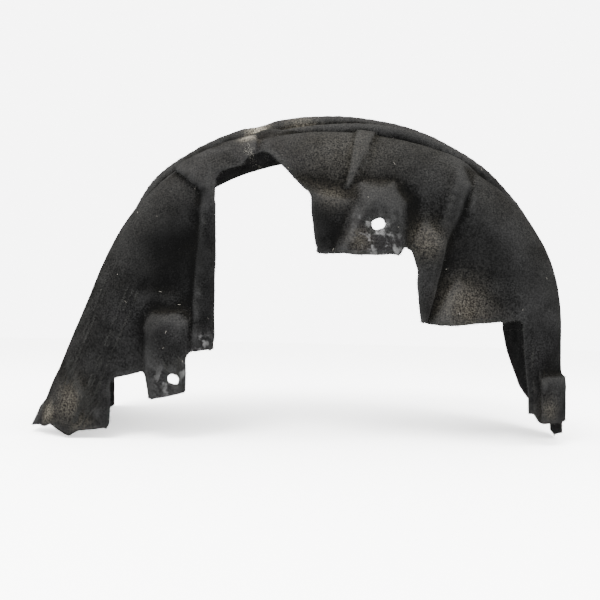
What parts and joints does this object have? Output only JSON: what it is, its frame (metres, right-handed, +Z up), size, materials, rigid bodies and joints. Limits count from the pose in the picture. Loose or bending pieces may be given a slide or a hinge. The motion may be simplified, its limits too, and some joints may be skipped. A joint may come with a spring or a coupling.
{
  "type": "wheel arch liner",
  "caption": "Moulded black felt rear wheel arch liner, a stepped arch with a rounded inboard shoulder, strut cut-out, raised fixing pads and trimmed feet.",
  "frame": {"origin": "under the middle of the liner's box, on the surface that its three lowest corners stand on", "axes": "+X along the car, to the right as seen from the middle of the car; +Y to the outside of the car, along the wheel's axis; +Z up"},
  "size_m": [0.7928, 0.37, 0.4909],
  "materials": {
    "felt": "needle-punched felt, dusty"
  },
  "bodies": {
    "root": {"wheel_arch_liner": "felt"}
  },
  "joints": []
}
